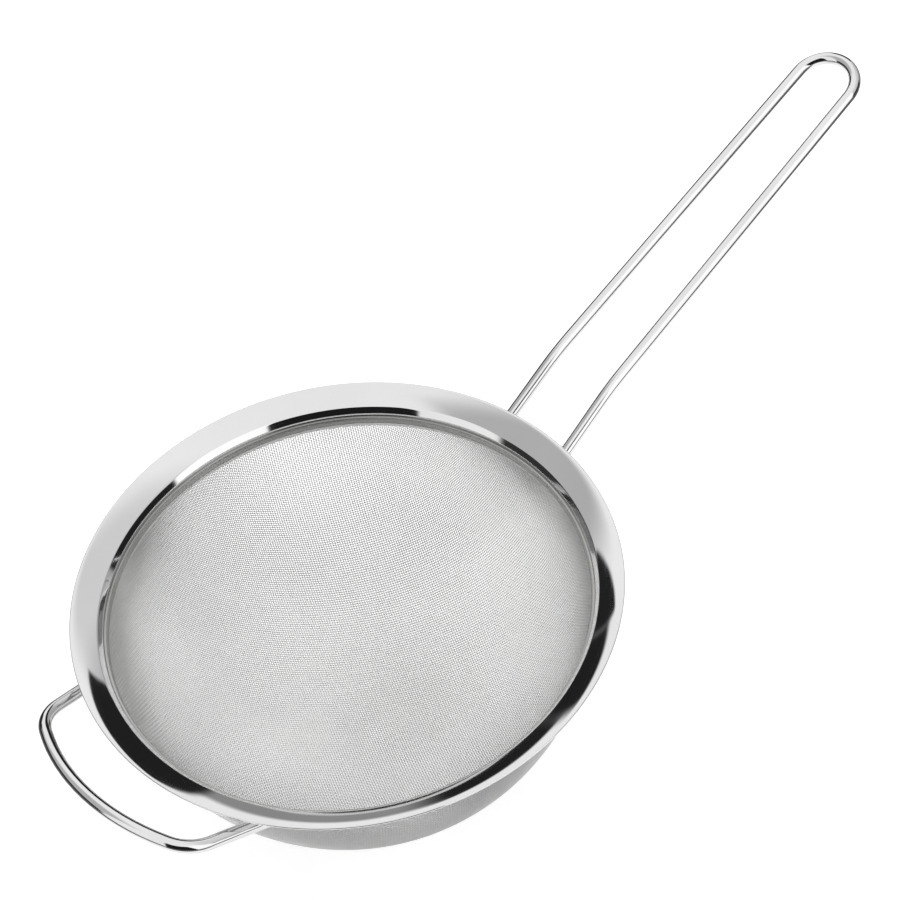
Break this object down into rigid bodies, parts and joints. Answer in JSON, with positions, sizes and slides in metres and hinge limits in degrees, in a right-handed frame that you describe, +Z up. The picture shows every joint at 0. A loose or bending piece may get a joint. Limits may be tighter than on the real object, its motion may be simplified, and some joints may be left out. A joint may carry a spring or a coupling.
{
  "type": "mesh strainer",
  "caption": "Round stainless-steel mesh strainer: deep woven bowl clamped in a flared rim, long wire handle with a hanging loop, and a rest loop opposite.",
  "frame": {"origin": "centre of the circle along the rim's top edge", "axes": "+X along the handle towards its hanging loop, +Z up out of the bowl along the rim's axis, +Y completes the set"},
  "size_m": [0.4013, 0.2004, 0.1571],
  "materials": {
    "rim_polished": "mirror-polished stainless steel",
    "band_satin": "satin stainless steel, crimped",
    "woven_mesh": "bright-drawn stainless steel wire, plain weave",
    "handle_polished": "polished stainless steel wire",
    "rest_loop_polished": "polished stainless steel wire",
    "weld_steel": "cleaned resistance weld in stainless steel"
  },
  "bodies": {
    "root": {"rim_ring": "rim_polished", "mesh_clamp_band": "band_satin", "mesh_basket": "woven_mesh", "handle_wire": "handle_polished", "rest_loop_wire": "rest_loop_polished", "handle_weld_left": "weld_steel", "handle_weld_right": "weld_steel", "rest_weld_left": "weld_steel", "rest_weld_right": "weld_steel"}
  },
  "joints": []
}
